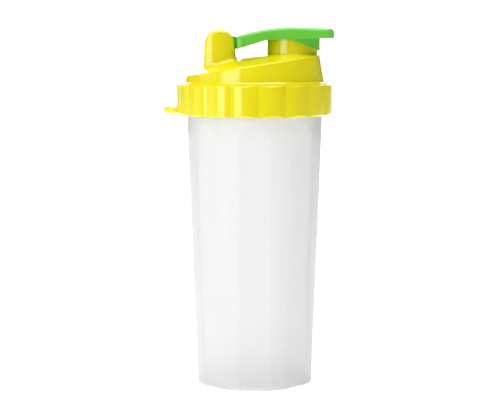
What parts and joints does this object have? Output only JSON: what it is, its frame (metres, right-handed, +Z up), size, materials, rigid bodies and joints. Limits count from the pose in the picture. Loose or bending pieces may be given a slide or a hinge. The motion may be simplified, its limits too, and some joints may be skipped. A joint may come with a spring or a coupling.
{
  "type": "shaker bottle",
  "caption": "Protein shaker with a tapered octagonal tumbler, fluted screw lid, domed top with spout, and a flip cap lever.",
  "frame": {"origin": "centre of the tumbler's underside, on the axis of the cup", "axes": "+Z up along the cup's axis, +X from the axis towards the spout, hinge turret on the -X side, front facet facing -Y"},
  "size_m": [0.107, 0.0978, 0.2246],
  "materials": {
    "milky_plastic": "translucent, fine satin",
    "yellow_plastic": "smooth gloss",
    "green_plastic": "smooth semi-gloss",
    "pin_plastic": "smooth",
    "soft_seal": "soft silicone",
    "sieve_plastic": "satin"
  },
  "bodies": {
    "cup": {"tumbler": "milky_plastic"},
    "seal": {"lid_seal": "soft_seal"},
    "lid": {"lid": "yellow_plastic", "mixing_sieve": "sieve_plastic", "hinge_pin": "pin_plastic"},
    "flip_cap": {"flip_cap": "green_plastic", "spout_plug": "soft_seal"}
  },
  "joints": [
    {"name": "lid_rise", "type": "slide", "parent": "cup", "child": "seal", "axis": [0, 0, 1], "range_m": [0, 0.02]},
    {"name": "lid_turn", "type": "hinge", "parent": "seal", "child": "lid", "pos_m": [0, 0, 0.1869], "axis": [0, 0, 1], "range_deg": [0, 720]},
    {"name": "cap_hinge", "type": "hinge", "parent": "lid", "child": "flip_cap", "pos_m": [-0.022, 0, 0.2136], "axis": [0, -1, 0], "range_deg": [0, 150]}
  ],
  "couplings": [
    {"joint": "lid_rise", "follows": "lid_turn", "m_per_rad": 0.0015915}
  ]
}
